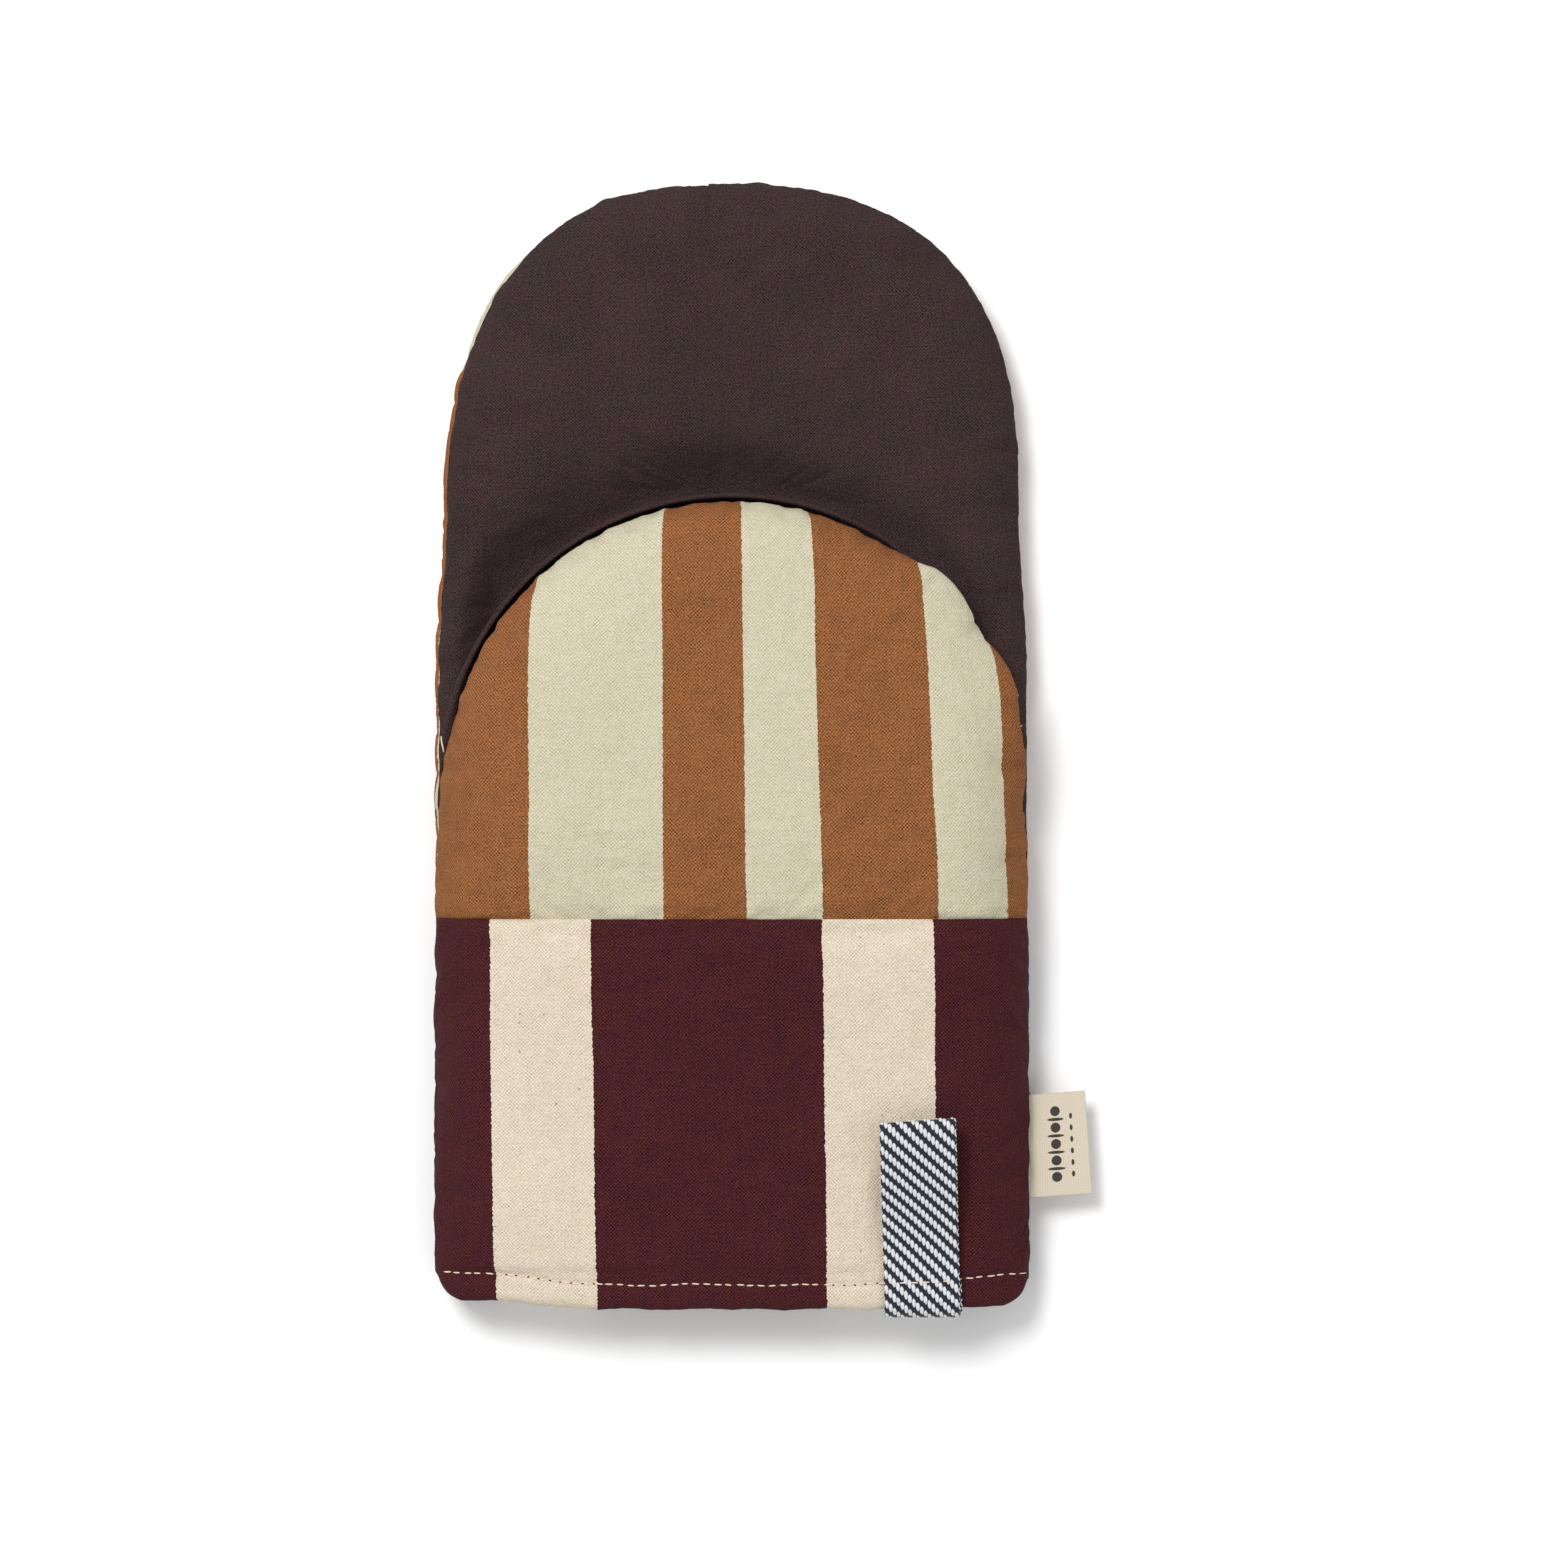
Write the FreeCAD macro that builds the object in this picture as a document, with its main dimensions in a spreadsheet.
"""Puppet oven mitt, lying on its back.

A wide quilted bag whose front is split by a crook into a thumb flap and a finger section. Each ply of cloth
and wadding is its own solid. X runs across the mitt, Y from the hem to the finger tip, Z up from the back.
Inside each body Y is counted from the hem, and the Placement then centres the mitt's length on the origin.
"""
import FreeCAD, Part
import math
import os
import Sketcher

DIMENSIONS = [
    ("mitt_length", 300, "hem to finger tip"),
    ("half_width", 79, "centre line to side seam"),
    ("crown_radius", 100, "middle arc of the finger tip"),
    ("shoulder_radius", 68, "side arcs of the finger tip"),
    ("crook_from_hem", 128, "hem to the crook, where the thumb hinges"),
    ("thumb_straight", 11, "straight sides of the thumb, from the crook to its half-round arch"),
    ("front_seam_from_hem", 104, "hem to the seam between cuff and thumb panel"),
    ("back_seam_from_hem", 101, "hem to the seam between cuff and back panel"),
    ("canvas", 0.8, "outer cotton canvas, folded edges included"),
    ("lining", 0.5, "lining cloth"),
    ("back_wadding", 4.5, "wadding in the back"),
    ("palm_wadding", 3.5, "wadding in the finger palm"),
    ("thumb_wadding", 3.0, "wadding in the thumb palm"),
    ("front_wadding", 4.0, "wadding in the thumb front and cuff front"),
    ("ply_gap", 0.15, "side clearance between neighbouring plies"),
    ("finger_room", 10, "height of the finger pocket"),
    ("thumb_room", 7.5, "height of the thumb pocket"),
    ("hem_room", 16, "height of the hand opening at the hem"),
    ("mouth_gap", 0.6, "closed mouth between the two palms"),
    ("edge_round", 9, "outer rounding of the padded edges"),
    ("mouth_angle", 60, "how far the thumb opens, in degrees"),
    ("notch_gap", 0.5, "clearance of the crook's fold when wide open"),
    ("tape_width", 20, "hanging tape"),
    ("tape_ply", 0.9, "thickness of one ply of the tape"),
    ("tape_from_centre", 49.5, "centre line to the middle of the tape"),
    ("tape_clear", 0.3, "tape above the cuff"),
    ("loop_reach", 51, "hem edge to the fold of the loop"),
    ("eye_clear", 6.4, "clear height of the loop's eye"),
    ("eye_start", 19, "hem edge to where the two plies part"),
    ("loop_pivot_lift", 0.6, "bend line of the loop above the doubled tape"),
    ("loop_cut", 0.5, "clearance between loop and tail at the stitching"),
    ("tail_overhang", 2.7, "tape below the hem edge"),
    ("tail_reach", 12, "tape tucked inside, from the hem edge"),
    ("stitch_line", 7, "hem edge to the topstitching"),
    ("stitch_length", 2.1, "one visible stitch"),
    ("stitch_pitch", 2.9, "stitch to stitch"),
    ("thread", 0.5, "width of the thread"),
    ("thread_height", 0.3, "thread standing above the cloth"),
    ("stitch_margin", 10, "side seam to the first stitch"),
    ("label_width", 27, "side label along the seam"),
    ("label_reach", 16, "side label out from the seam"),
    ("label_thickness", 0.6, "folded label tape"),
    ("label_from_hem", 43.5, "hem to the middle of the label"),
    ("label_height", 10, "side label above the table"),
    ("label_clear", 0.35, "label to the cuff's wall"),
]

doc = FreeCAD.newDocument("oven_mitt")
dims = doc.addObject("Spreadsheet::Sheet", "dims")
for row, (alias, value, note) in enumerate(DIMENSIONS, start=1):
    dims.set(f"A{row}", note)
    dims.set(f"B{row}", str(value))
    dims.setAlias(f"B{row}", alias)
doc.recompute()


def number(expression):
    """The present value of an expression of the sheet's cells."""
    return float(dims.evalExpression(expression))


# Heights of the plies, from the table up, as expressions of the sheet's cells.
back_lining_low = "(dims.canvas + dims.back_wadding)"
back_top = f"({back_lining_low} + dims.lining)"
finger_ceiling = f"({back_top} + dims.finger_room)"
palm_wadding_top = f"({finger_ceiling} + dims.lining + dims.palm_wadding)"
palm_top = f"({palm_wadding_top} + dims.canvas)"
crook_height = f"({palm_top} + dims.mouth_gap / 2)"
thumb_low = f"({palm_top} + dims.mouth_gap)"
thumb_wadding_low = f"({thumb_low} + dims.canvas)"
thumb_lining_low = f"({thumb_wadding_low} + dims.thumb_wadding)"
thumb_floor = f"({thumb_lining_low} + dims.lining)"
thumb_ceiling = f"({thumb_floor} + dims.thumb_room)"
front_wadding_depth = "(dims.canvas + dims.ply_gap)"
front_lining_depth = f"({front_wadding_depth} + dims.front_wadding)"
front_stack = f"({front_lining_depth} + dims.lining)"
front_top = f"({thumb_ceiling} + {front_stack})"
hem_top = f"({back_top} + dims.hem_room + {front_stack})"
cuff_slope = f"(({front_top} - {hem_top}) / dims.crook_from_hem)"

# How far each ply's outer side stands in from the side seam.
wadding_inset = "(dims.canvas + dims.ply_gap)"
palm_lining_inset = f"({wadding_inset} + dims.palm_wadding + dims.ply_gap)"
front_lining_inset = f"({wadding_inset} + dims.front_wadding + dims.ply_gap)"


def cuff_height(from_hem, depth="0"):
    """Top of a cuff ply: the cuff rises evenly from the hem to the crook."""
    return f"({hem_top} + {cuff_slope} * {from_hem} - {depth})"


def new_body(label):
    """A sub-part, centred on the mitt's length."""
    body = doc.addObject("PartDesign::Body", label)
    body.Label = label
    body.setExpression("Placement.Base.y", "-dims.mitt_length / 2")
    return body


def sketch_on(body, name, role, offset):
    """An empty sketch on one of the body's own origin planes, moved along that plane's normal."""
    sketch = body.newObject("Sketcher::SketchObject", f"{body.Label}_{name}")
    plane = next(feature for feature in body.Origin.OriginFeatures if feature.Role == role)
    sketch.AttachmentSupport = [(plane, "")]
    sketch.MapMode = "FlatFace"
    sketch.setExpression("AttachmentOffset.Base.z", offset)
    return sketch


def fix(sketch, name, expression, *constraint):
    """Adds one dimension to a sketch and binds it to the sheet."""
    index = sketch.addConstraint(Sketcher.Constraint(*constraint, number(expression)))
    sketch.renameConstraint(index, name)
    sketch.setExpression(f"Constraints.{name}", expression)


def line(start, end):
    return Part.LineSegment(FreeCAD.Vector(*start, 0), FreeCAD.Vector(*end, 0))


def arc(centre, radius, start_angle, end_angle):
    circle = Part.Circle(FreeCAD.Vector(*centre, 0), FreeCAD.Vector(0, 0, 1), radius)
    return Part.ArcOfCircle(circle, start_angle, end_angle)


def draw_finger_outline(sketch, inset, low):
    """Straight sides and a finger tip of three tangent arcs, closed across at the height low."""
    half = number(f"dims.half_width - {inset}")
    crown = number(f"dims.crown_radius - {inset}")
    shoulder = number(f"dims.shoulder_radius - {inset}")
    crown_y = number("dims.mitt_length - dims.crown_radius")
    bottom = number(low)
    shoulder_x = half - shoulder
    shoulder_y = crown_y + math.sqrt((crown - shoulder) ** 2 - shoulder_x ** 2)
    turn = math.atan2(shoulder_y - crown_y, shoulder_x)
    sketch.addGeometry([
        line((-half, bottom), (half, bottom)),
        line((half, bottom), (half, shoulder_y)),
        arc((shoulder_x, shoulder_y), shoulder, 0, turn),
        arc((0, crown_y), crown, turn, math.pi - turn),
        arc((-shoulder_x, shoulder_y), shoulder, math.pi - turn, math.pi),
        line((-half, shoulder_y), (-half, bottom)),
    ])
    sketch.addConstraint([
        Sketcher.Constraint("Coincident", 0, 2, 1, 1),
        Sketcher.Constraint("Tangent", 1, 2, 2, 1),
        Sketcher.Constraint("Tangent", 2, 2, 3, 1),
        Sketcher.Constraint("Tangent", 3, 2, 4, 1),
        Sketcher.Constraint("Tangent", 4, 2, 5, 1),
        Sketcher.Constraint("Coincident", 5, 2, 0, 1),
        Sketcher.Constraint("Vertical", 1),
        Sketcher.Constraint("Vertical", 5),
        Sketcher.Constraint("Symmetric", 0, 1, 0, 2, -2),
        Sketcher.Constraint("Equal", 2, 4),
        Sketcher.Constraint("PointOnObject", 3, 3, -2),
    ])
    fix(sketch, "half_width", f"dims.half_width - {inset}", "DistanceX", -1, 1, 0, 2)
    fix(sketch, "low_edge", low, "DistanceY", -1, 1, 0, 2)
    fix(sketch, "crown_centre", "dims.mitt_length - dims.crown_radius", "DistanceY", -1, 1, 3, 3)
    fix(sketch, "crown_radius", f"dims.crown_radius - {inset}", "Radius", 3)
    fix(sketch, "shoulder_radius", f"dims.shoulder_radius - {inset}", "Radius", 2)


def draw_thumb_outline(sketch, inset, low):
    """Straight sides and a half-round top, closed across at the height low."""
    half = number(f"dims.half_width - {inset}")
    centre_y = number("dims.crook_from_hem + dims.thumb_straight")
    bottom = number(low)
    sketch.addGeometry([
        line((-half, bottom), (half, bottom)),
        line((half, bottom), (half, centre_y)),
        arc((0, centre_y), half, 0, math.pi),
        line((-half, centre_y), (-half, bottom)),
    ])
    sketch.addConstraint([
        Sketcher.Constraint("Coincident", 0, 2, 1, 1),
        Sketcher.Constraint("Tangent", 1, 2, 2, 1),
        Sketcher.Constraint("Tangent", 2, 2, 3, 1),
        Sketcher.Constraint("Coincident", 3, 2, 0, 1),
        Sketcher.Constraint("Vertical", 1),
        Sketcher.Constraint("Vertical", 3),
        Sketcher.Constraint("Symmetric", 0, 1, 0, 2, -2),
    ])
    fix(sketch, "half_width", f"dims.half_width - {inset}", "DistanceX", -1, 1, 0, 2)
    fix(sketch, "low_edge", low, "DistanceY", -1, 1, 0, 2)
    fix(sketch, "arch_centre", "dims.crook_from_hem + dims.thumb_straight", "DistanceY", -1, 1, 2, 3)


def draw_rectangle(sketch, left, bottom, right, top):
    """A rectangle whose four sides are expressions."""
    x0, y0, x1, y1 = (number(side) for side in (left, bottom, right, top))
    sketch.addGeometry([
        line((x0, y0), (x1, y0)),
        line((x1, y0), (x1, y1)),
        line((x1, y1), (x0, y1)),
        line((x0, y1), (x0, y0)),
    ])
    sketch.addConstraint([Sketcher.Constraint("Coincident", n, 2, (n + 1) % 4, 1) for n in range(4)])
    sketch.addConstraint([Sketcher.Constraint("Horizontal", n) for n in (0, 2)])
    sketch.addConstraint([Sketcher.Constraint("Vertical", n) for n in (1, 3)])
    fix(sketch, "left_side", left, "DistanceX", -1, 1, 0, 1)
    fix(sketch, "bottom_side", bottom, "DistanceY", -1, 1, 0, 1)
    fix(sketch, "right_side", right, "DistanceX", -1, 1, 1, 2)
    fix(sketch, "top_side", top, "DistanceY", -1, 1, 1, 2)


def draw_polygon(sketch, corners):
    """Straight lines through corners that are pairs of expressions."""
    places = [(number(x), number(y)) for x, y in corners]
    count = len(places)
    for n in range(count):
        sketch.addGeometry(line(places[n], places[(n + 1) % count]))
    for n in range(count):
        sketch.addConstraint(Sketcher.Constraint("Coincident", n, 2, (n + 1) % count, 1))
    for n, (x, y) in enumerate(corners):
        fix(sketch, f"corner_{n}_across", x, "DistanceX", -1, 1, n, 1)
        fix(sketch, f"corner_{n}_up", y, "DistanceY", -1, 1, n, 1)


def pad(body, sketch, height):
    feature = body.newObject("PartDesign::Pad", f"{sketch.Name}_pad")
    feature.Profile = sketch
    feature.setExpression("Length", height)
    return feature


def plate(label, draw, inset, low_edge, low, height):
    """A flat ply: one outline padded upwards."""
    body = new_body(label)
    sketch = sketch_on(body, "outline", "XY_Plane", low)
    draw(sketch, inset, low_edge)
    pad(body, sketch, height)
    return body


def tray(label, draw, inset, low_edge, low, top, wall):
    """A ply that covers the top and turns down at the sides: a rounded pad hollowed from below and the crook."""
    body = new_body(label)
    sketch = sketch_on(body, "outline", "XY_Plane", low)
    draw(sketch, inset, low_edge)
    solid = pad(body, sketch, f"{top} - {low}")
    doc.recompute()
    crook_y = number(low_edge)
    low_z = number(low)
    top_z = number(top)
    rim = []
    for n, edge in enumerate(solid.Shape.Edges, start=1):
        at_top = all(abs(vertex.Z - top_z) < 1e-4 for vertex in edge.Vertexes)
        at_crook = all(abs(vertex.Y - crook_y) < 1e-4 for vertex in edge.Vertexes)
        if at_top and not at_crook:
            rim.append(f"Edge{n}")
    rounding = body.newObject("PartDesign::Fillet", f"{label}_rounding")
    rounding.Base = (solid, rim)
    rounding.setExpression("Radius", f"dims.edge_round - {inset}")
    doc.recompute()
    open_faces = []
    for n, face in enumerate(rounding.Shape.Faces, start=1):
        middle = face.CenterOfMass
        if abs(middle.z - low_z) < 1e-4 or abs(middle.y - crook_y) < 1e-4:
            open_faces.append(f"Face{n}")
    hollow = body.newObject("PartDesign::Thickness", f"{label}_hollow")
    hollow.Base = (rounding, open_faces)
    hollow.setExpression("Value", wall)
    hollow.Reversed = True
    return body


def draw_arch_section(sketch, inset, foot, top, wall):
    """The cuff's section: a flat top with rounded corners and two walls, wall thick."""
    x1 = number(f"dims.half_width - {inset}")
    x0 = x1 - number(wall)
    foot_y = number(foot)
    top_y = number(top)
    under_y = top_y - number(wall)
    outer = number(f"dims.edge_round - {inset}")
    inner = outer - number(wall)
    quarter = math.pi / 2
    sketch.addGeometry([
        line((x1, foot_y), (x1, top_y - outer)),
        arc((x1 - outer, top_y - outer), outer, 0, quarter),
        line((x1 - outer, top_y), (outer - x1, top_y)),
        arc((outer - x1, top_y - outer), outer, quarter, 2 * quarter),
        line((-x1, top_y - outer), (-x1, foot_y)),
        line((-x1, foot_y), (-x0, foot_y)),
        line((-x0, foot_y), (-x0, under_y - inner)),
        arc((inner - x0, under_y - inner), inner, quarter, 2 * quarter),
        line((inner - x0, under_y), (x0 - inner, under_y)),
        arc((x0 - inner, under_y - inner), inner, 0, quarter),
        line((x0, under_y - inner), (x0, foot_y)),
        line((x0, foot_y), (x1, foot_y)),
    ])
    joints = [(0, 2, 1, 1), (1, 2, 2, 1), (2, 2, 3, 1), (3, 2, 4, 1)]
    joints += [(6, 2, 7, 2), (7, 1, 8, 1), (8, 2, 9, 2), (9, 1, 10, 1)]
    for joint in joints:
        sketch.addConstraint(Sketcher.Constraint("Tangent", *joint))
    for corner in [(4, 2, 5, 1), (5, 2, 6, 1), (10, 2, 11, 1), (11, 2, 0, 1)]:
        sketch.addConstraint(Sketcher.Constraint("Coincident", *corner))
    for wall_side in (0, 4, 6, 10):
        sketch.addConstraint(Sketcher.Constraint("Vertical", wall_side))
    for level in (2, 8, 11):
        sketch.addConstraint(Sketcher.Constraint("Horizontal", level))
    sketch.addConstraint(Sketcher.Constraint("Symmetric", 0, 1, 4, 2, -2))
    sketch.addConstraint(Sketcher.Constraint("Symmetric", 10, 2, 6, 1, -2))
    sketch.addConstraint(Sketcher.Constraint("Equal", 1, 3))
    sketch.addConstraint(Sketcher.Constraint("Equal", 7, 9))
    fix(sketch, "half_width", f"dims.half_width - {inset}", "DistanceX", -1, 1, 0, 1)
    fix(sketch, "foot", foot, "DistanceY", -1, 1, 0, 1)
    fix(sketch, "inner_half_width", f"dims.half_width - {inset} - {wall}", "DistanceX", -1, 1, 10, 2)
    fix(sketch, "top", top, "DistanceY", -1, 1, 2, 1)
    fix(sketch, "underside", f"{top} - {wall}", "DistanceY", -1, 1, 8, 1)
    fix(sketch, "outer_radius", f"dims.edge_round - {inset}", "Radius", 1)
    fix(sketch, "inner_radius", f"dims.edge_round - {inset} - {wall}", "Radius", 7)


def sloped_arch(label, inset, foot, depth, wall, near, far):
    """A cuff ply from near to far of the hem: two arch sections lofted, so that its top rises evenly."""
    body = new_body(label)
    sections = []
    for name, place in (("near", near), ("far", far)):
        sketch = sketch_on(body, name, "XZ_Plane", f"-1 * {place}")
        draw_arch_section(sketch, inset, foot, cuff_height(place, depth), wall)
        sections.append(sketch)
    loft = body.newObject("PartDesign::AdditiveLoft", f"{label}_loft")
    loft.Profile = sections[0]
    loft.Sections = [sections[1]]
    loft.Ruled = True
    return body


def cut_fold(body, side):
    """Cuts the ply away from the crook's fold: side is -1 before the crook and 1 beyond it.

    The cut leans away from the bend line by half the mouth's angle, so two such faces meet when it is wide open.
    """
    sketch = sketch_on(body, "fold", "YZ_Plane", "0")
    lean = f"tan(dims.mouth_angle / 2) * {front_top}"
    edge = f"(dims.crook_from_hem + {side} * dims.notch_gap / 2)"
    far_side = f"(dims.crook_from_hem - {side} * dims.crook_from_hem)"
    high = f"({crook_height} + {front_top})"
    draw_polygon(sketch, [
        (edge, crook_height),
        (f"{edge} + {side} * {lean}", high),
        (far_side, high),
        (far_side, crook_height),
    ])
    pocket = body.newObject("PartDesign::Pocket", f"{body.Label}_fold_cut")
    pocket.Profile = sketch
    pocket.setExpression("Length", "4 * dims.half_width")
    pocket.Midplane = True


# The back: flat plies, the widest and stiffest side of the mitt.
def make_back():
    plate("back_upper_shell", draw_finger_outline, "0", "dims.back_seam_from_hem", "0", "dims.canvas")
    cuff = new_body("back_cuff_shell")
    sketch = sketch_on(cuff, "outline", "XY_Plane", "0")
    draw_rectangle(sketch, "-dims.half_width", "0", "dims.half_width", "dims.back_seam_from_hem - dims.ply_gap")
    pad(cuff, sketch, "dims.canvas")
    plate("back_batting", draw_finger_outline, wadding_inset, "0", "dims.canvas", "dims.back_wadding")
    plate("back_lining", draw_finger_outline, wadding_inset, "0", back_lining_low, "dims.lining")


# The cuff's front, from the hem to the crook.
def make_cuff_front():
    sloped_arch("cuff_front_shell", "0", "dims.canvas", "0", "dims.canvas",
                "0", "(dims.front_seam_from_hem - dims.ply_gap)")
    wadding = sloped_arch("cuff_front_batting", wadding_inset, back_top, front_wadding_depth,
                          "dims.front_wadding", "0", "dims.crook_from_hem")
    cut_fold(wadding, -1)
    lining = sloped_arch("cuff_front_lining", front_lining_inset, back_top, front_lining_depth,
                         "dims.lining", "0", "dims.crook_from_hem")
    cut_fold(lining, -1)


# The finger palm, under the thumb: trays that rest on the back's plies.
def make_finger_palm():
    for label, inset, low, top, wall in (
        ("finger_palm_shell", "0", "dims.canvas", palm_top, "dims.canvas"),
        ("finger_palm_batting", wadding_inset, back_top, palm_wadding_top, "dims.palm_wadding"),
        ("finger_palm_lining", palm_lining_inset, back_top, f"({finger_ceiling} + dims.lining)", "dims.lining"),
    ):
        tray(label, draw_finger_outline, inset, "(dims.crook_from_hem + dims.ply_gap)", low, top, wall)


# The thumb: flat palm plies, and front plies that turn down round them.
def make_thumb():
    for label, inset, low, height in (
        ("thumb_palm_shell", "0", thumb_low, "dims.canvas"),
        ("thumb_palm_batting", wadding_inset, thumb_wadding_low, "dims.thumb_wadding"),
        ("thumb_palm_lining", wadding_inset, thumb_lining_low, "dims.lining"),
    ):
        cut_fold(plate(label, draw_thumb_outline, inset, "dims.crook_from_hem", low, height), 1)
    for label, inset, depth, wall in (
        ("thumb_front_batting", wadding_inset, front_wadding_depth, "dims.front_wadding"),
        ("thumb_front_lining", front_lining_inset, front_lining_depth, "dims.lining"),
    ):
        cut_fold(tray(label, draw_thumb_outline, inset, "dims.crook_from_hem", thumb_floor,
                      f"({front_top} - {depth})", wall), 1)


# The thumb's outer panel runs on past the crook down to the cuff seam, and covers the fold.
def make_thumb_front_shell():
    band = sloped_arch("thumb_front_band", "0", "(dims.canvas + dims.ply_gap)", "0", "dims.canvas",
                       "dims.front_seam_from_hem", "dims.crook_from_hem")
    arch = tray("thumb_front_arch", draw_thumb_outline, "0", "dims.crook_from_hem", thumb_wadding_low,
                front_top, "dims.canvas")
    panel = doc.addObject("Part::MultiFuse", "thumb_front_shell")
    panel.Label = "thumb_front_shell"
    panel.Shapes = [band, arch]
    return panel


def lay_on_cuff(body, across):
    """Puts a body whose Y runs up the cuff's slope and whose Z stands square on it at the hem's top edge."""
    body.Placement = FreeCAD.Placement(FreeCAD.Vector(), FreeCAD.Rotation(FreeCAD.Vector(1, 0, 0), 5))
    body.setExpression("Placement.Base.x", across)
    body.setExpression("Placement.Base.y", "-dims.mitt_length / 2")
    body.setExpression("Placement.Base.z", hem_top)
    body.setExpression("Placement.Rotation.Angle", f"atan({cuff_slope})")


def pad_tape(body, sketch):
    """Pads a side view of the tape to its width, half to each side."""
    solid = pad(body, sketch, "dims.tape_width")
    solid.Midplane = True


# The hanging tape: one doubled strip, stitched through the hem.
doubled = "(2 * dims.tape_ply)"
tape_top = f"(dims.tape_clear + {doubled})"
tail_end = "(dims.stitch_line + dims.stitch_length / 2)"
loop_start = f"({tail_end} + dims.loop_cut)"


def make_hang_loop():
    body = new_body("hang_loop")
    lay_on_cuff(body, "dims.tape_from_centre")
    sketch = sketch_on(body, "side", "YZ_Plane", "0")
    radius = number("dims.eye_clear / 2 + dims.tape_ply")
    centre = (number(f"dims.loop_reach - dims.eye_clear / 2 - dims.tape_ply"),
              number("dims.tape_clear") + radius)
    start = (number(loop_start), number("dims.tape_clear"))
    reach = math.hypot(centre[0] - start[0], centre[1] - number(tape_top))
    lean = math.atan2(centre[1] - number(tape_top), centre[0] - start[0]) + math.asin(radius / reach)
    touch = (centre[0] - radius * math.sin(lean), centre[1] + radius * math.cos(lean))
    quarter = math.pi / 2
    sketch.addGeometry([
        line(start, (centre[0], start[1])),
        arc(centre, radius, -quarter, quarter + lean),
        line(touch, (start[0], number(tape_top))),
        line((start[0], number(tape_top)), start),
    ])
    sketch.addConstraint([
        Sketcher.Constraint("Tangent", 0, 2, 1, 1),
        Sketcher.Constraint("Tangent", 1, 2, 2, 1),
        Sketcher.Constraint("Coincident", 2, 2, 3, 1),
        Sketcher.Constraint("Coincident", 3, 2, 0, 1),
        Sketcher.Constraint("Horizontal", 0),
        Sketcher.Constraint("Vertical", 3),
    ])
    fix(sketch, "start", loop_start, "DistanceX", -1, 1, 0, 1)
    fix(sketch, "underside", "dims.tape_clear", "DistanceY", -1, 1, 0, 1)
    fix(sketch, "doubled", doubled, "DistanceY", 3, 2, 3, 1)
    fix(sketch, "fold_radius", "dims.eye_clear / 2 + dims.tape_ply", "Radius", 1)
    fix(sketch, "fold_centre", "dims.loop_reach - dims.eye_clear / 2 - dims.tape_ply",
        "DistanceX", -1, 1, 1, 3)
    pad_tape(body, sketch)

    eye = sketch_on(body, "eye", "YZ_Plane", "0")
    inner = number("dims.eye_clear / 2")
    apex = (number("dims.eye_start"), number("dims.tape_clear + dims.tape_ply"))
    spread = 2 * math.atan2(inner, centre[0] - apex[0])
    upper = (centre[0] - inner * math.sin(spread), centre[1] + inner * math.cos(spread))
    eye.addGeometry([
        line(apex, (centre[0], apex[1])),
        arc(centre, inner, -quarter, quarter + spread),
        line(upper, apex),
    ])
    eye.addConstraint([
        Sketcher.Constraint("Tangent", 0, 2, 1, 1),
        Sketcher.Constraint("Tangent", 1, 2, 2, 1),
        Sketcher.Constraint("Coincident", 2, 2, 0, 1),
        Sketcher.Constraint("Horizontal", 0),
    ])
    fix(eye, "eye_start", "dims.eye_start", "DistanceX", -1, 1, 0, 1)
    fix(eye, "eye_floor", "dims.tape_clear + dims.tape_ply", "DistanceY", -1, 1, 0, 1)
    fix(eye, "eye_radius", "dims.eye_clear / 2", "Radius", 1)
    fix(eye, "eye_centre", "dims.loop_reach - dims.eye_clear / 2 - dims.tape_ply", "DistanceX", -1, 1, 1, 3)
    pocket = body.newObject("PartDesign::Pocket", "hang_loop_eye_cut")
    pocket.Profile = eye
    pocket.setExpression("Length", "2 * dims.tape_width")
    pocket.Midplane = True


def make_hang_loop_tail():
    body = new_body("hang_loop_tail")
    lay_on_cuff(body, "dims.tape_from_centre")
    sketch = sketch_on(body, "side", "YZ_Plane", "0")
    inside_top = f"(-1 * {front_stack} - dims.tape_clear)"
    below_hem = "(-1 * dims.tail_overhang)"
    draw_polygon(sketch, [
        (tail_end, tape_top),
        (below_hem, tape_top),
        (below_hem, f"{inside_top} - {doubled}"),
        ("dims.tail_reach", f"{inside_top} - {doubled}"),
        ("dims.tail_reach", inside_top),
        (f"{below_hem} + {doubled}", inside_top),
        (f"{below_hem} + {doubled}", "dims.tape_clear"),
        (tail_end, "dims.tape_clear"),
    ])
    pad_tape(body, sketch)


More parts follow.
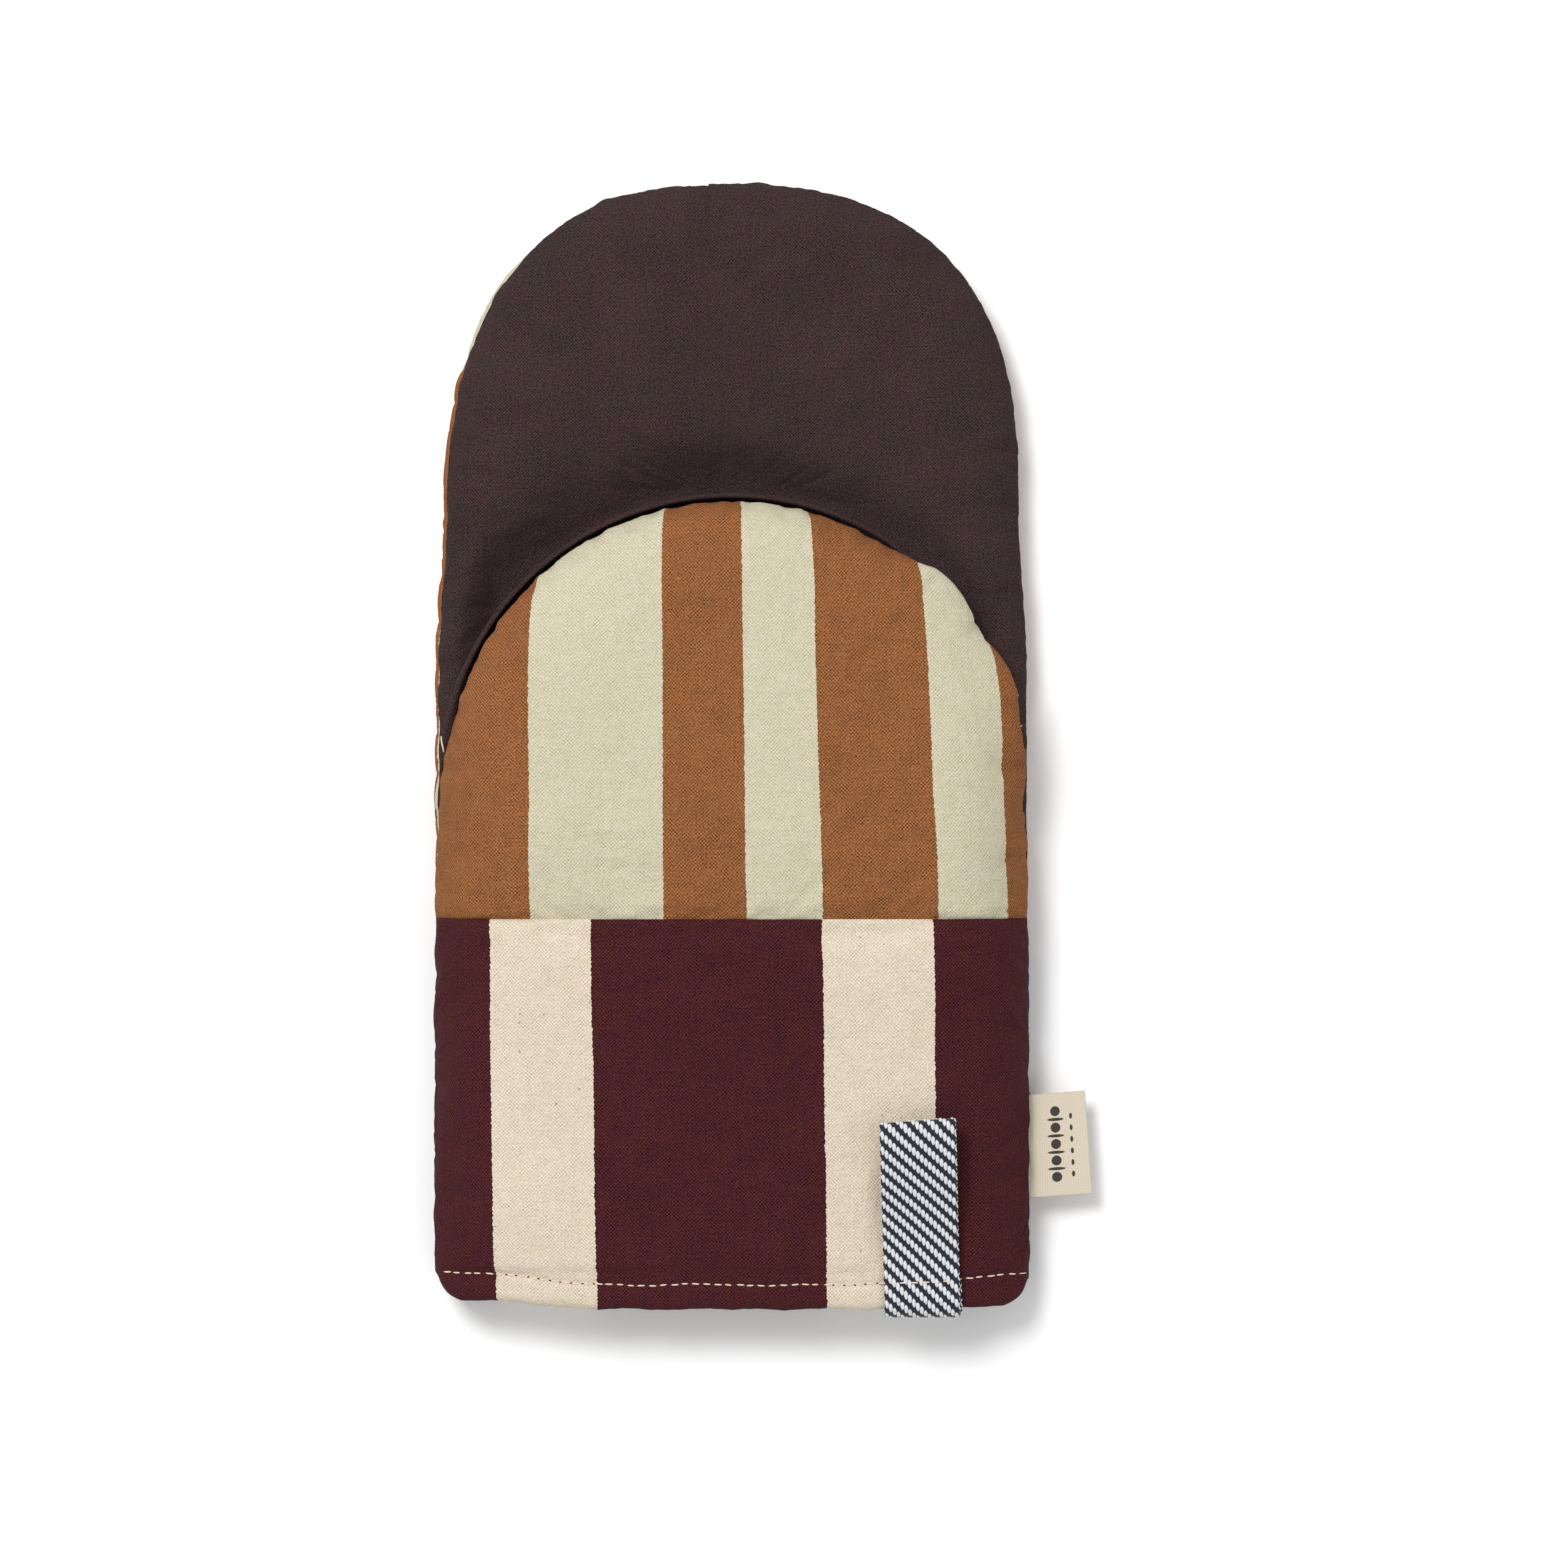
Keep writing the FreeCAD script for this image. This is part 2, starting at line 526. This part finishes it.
# The hem's topstitching: rows of short bars beside the tape and over it.
def make_hem_topstitch():
    body = new_body("hem_topstitch")
    body.AllowCompound = True
    lay_on_cuff(body, "0")
    tape_left = "(dims.tape_from_centre - dims.tape_width / 2)"
    tape_right = "(dims.tape_from_centre + dims.tape_width / 2)"
    row_end = "(dims.half_width - dims.stitch_margin)"
    rows = (
        ("left_row", f"-1 * {row_end}", f"{tape_left} - dims.stitch_length", "dims.ply_gap"),
        ("tape_row", f"{tape_left} + dims.stitch_length / 2", f"{tape_right} - dims.stitch_length",
         f"{tape_top} + dims.ply_gap"),
        ("right_row", f"{tape_right} + dims.stitch_length / 2", row_end, "dims.ply_gap"),
    )
    for name, start, end, lift in rows:
        sketch = sketch_on(body, name, "XY_Plane", lift)
        draw_rectangle(sketch, start, "dims.stitch_line - dims.thread / 2",
                       f"{start} + dims.stitch_length", "dims.stitch_line + dims.thread / 2")
        stitch = pad(body, sketch, "dims.thread_height")
        count = 1 + int(number(f"({end} - {start}) / dims.stitch_pitch"))
        pattern = body.newObject("PartDesign::LinearPattern", f"{name}_pattern")
        pattern.Originals = [stitch]
        pattern.Direction = (sketch, ["H_Axis"])
        pattern.Occurrences = count
        pattern.setExpression("Length", f"{count - 1} * dims.stitch_pitch")
        body.Tip = pattern


# The side label: a folded strip of tape caught in the side seam.
def make_side_label():
    body = new_body("side_label")
    sketch = sketch_on(body, "outline", "XY_Plane", "dims.label_height - dims.label_thickness / 2")
    inner_edge = "dims.half_width + dims.label_clear"
    draw_rectangle(sketch, inner_edge, "dims.label_from_hem - dims.label_width / 2",
                   f"{inner_edge} + dims.label_reach", "dims.label_from_hem + dims.label_width / 2")
    pad(body, sketch, "dims.label_thickness")


make_back()
make_cuff_front()
make_finger_palm()
make_thumb()
make_thumb_front_shell()
make_hang_loop()
make_hang_loop_tail()
make_hem_topstitch()
make_side_label()
doc.recompute()

# Every sub-part that is written: all bodies and the fused panel, but not the panel's two halves.
halves = ("thumb_front_band", "thumb_front_arch")
subparts = [item for item in doc.Objects if item.TypeId == "PartDesign::Body" and item.Label not in halves]
subparts.append(doc.getObject("thumb_front_shell"))

for item in doc.Objects:
    if "Invalid" in item.State or "Error" in item.State:
        raise RuntimeError(f"{item.Label} did not recompute: {item.State}")
for item in subparts:
    if item.Shape.isNull() or not item.Shape.isValid() or not item.Shape.Solids:
        raise RuntimeError(f"{item.Label} has no valid solid")

os.makedirs("parts", exist_ok=True)
for item in subparts:
    item.Shape.exportStep(f"parts/{item.Label}.step")
    box = item.Shape.BoundBox
    print(f"{item.Label}: {len(item.Shape.Solids)} solids, {item.Shape.Volume:.0f} mm3, "
          f"x {box.XMin:.1f}..{box.XMax:.1f}, y {box.YMin:.1f}..{box.YMax:.1f}, z {box.ZMin:.1f}..{box.ZMax:.1f}")
